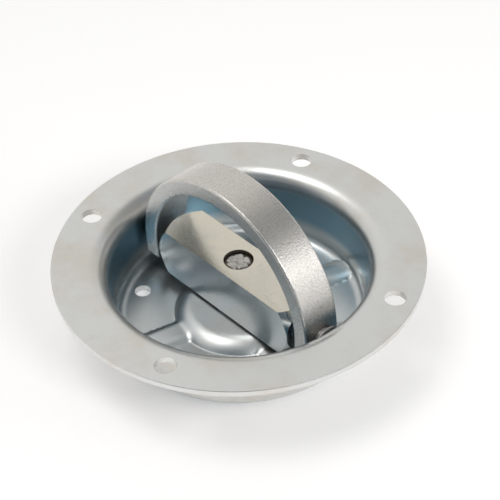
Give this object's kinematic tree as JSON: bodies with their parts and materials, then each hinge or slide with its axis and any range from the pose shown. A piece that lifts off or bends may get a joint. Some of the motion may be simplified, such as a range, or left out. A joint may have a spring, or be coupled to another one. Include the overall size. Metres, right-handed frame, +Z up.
{
  "type": "recessed swivel ring",
  "caption": "Recessed swivel ring: a half-ring bail pivots on a block that swivels in a round pressed-steel pan with a screw flange.",
  "frame": {"origin": "centre of the pan's underside, on the swivel axis", "axes": "+Z up along the swivel axis, out of the pan's mouth; +X along the bail's pivot axis; the bail stands upright at rest"},
  "size_m": [0.165, 0.165, 0.0745],
  "materials": {
    "zinc_pan": "satin zinc plate",
    "zinc_block": "machined, zinc plated",
    "zinc_bail": "tumbled zinc plate",
    "bare_steel": "peened, lightly browned",
    "dark_zinc": "dull zinc plate"
  },
  "bodies": {
    "pan": {"pan": "zinc_pan", "thrust_washer": "dark_zinc"},
    "swivel": {"swivel_stud": "bare_steel", "swivel_block": "zinc_block", "bail_pin_left": "bare_steel", "bail_pin_right": "bare_steel", "spacer_washer_left": "dark_zinc", "spacer_washer_right": "dark_zinc"},
    "bail": {"bail": "zinc_bail"}
  },
  "joints": [
    {"name": "block_swivel", "type": "hinge", "parent": "pan", "child": "swivel", "pos_m": [0, 0, 0.0207], "axis": [0, 0, 1], "continuous": true},
    {"name": "bail_pivot", "type": "hinge", "parent": "swivel", "child": "bail", "pos_m": [0, 0, 0.0211], "axis": [1, 0, 0], "range_deg": [-94, 94]}
  ]
}
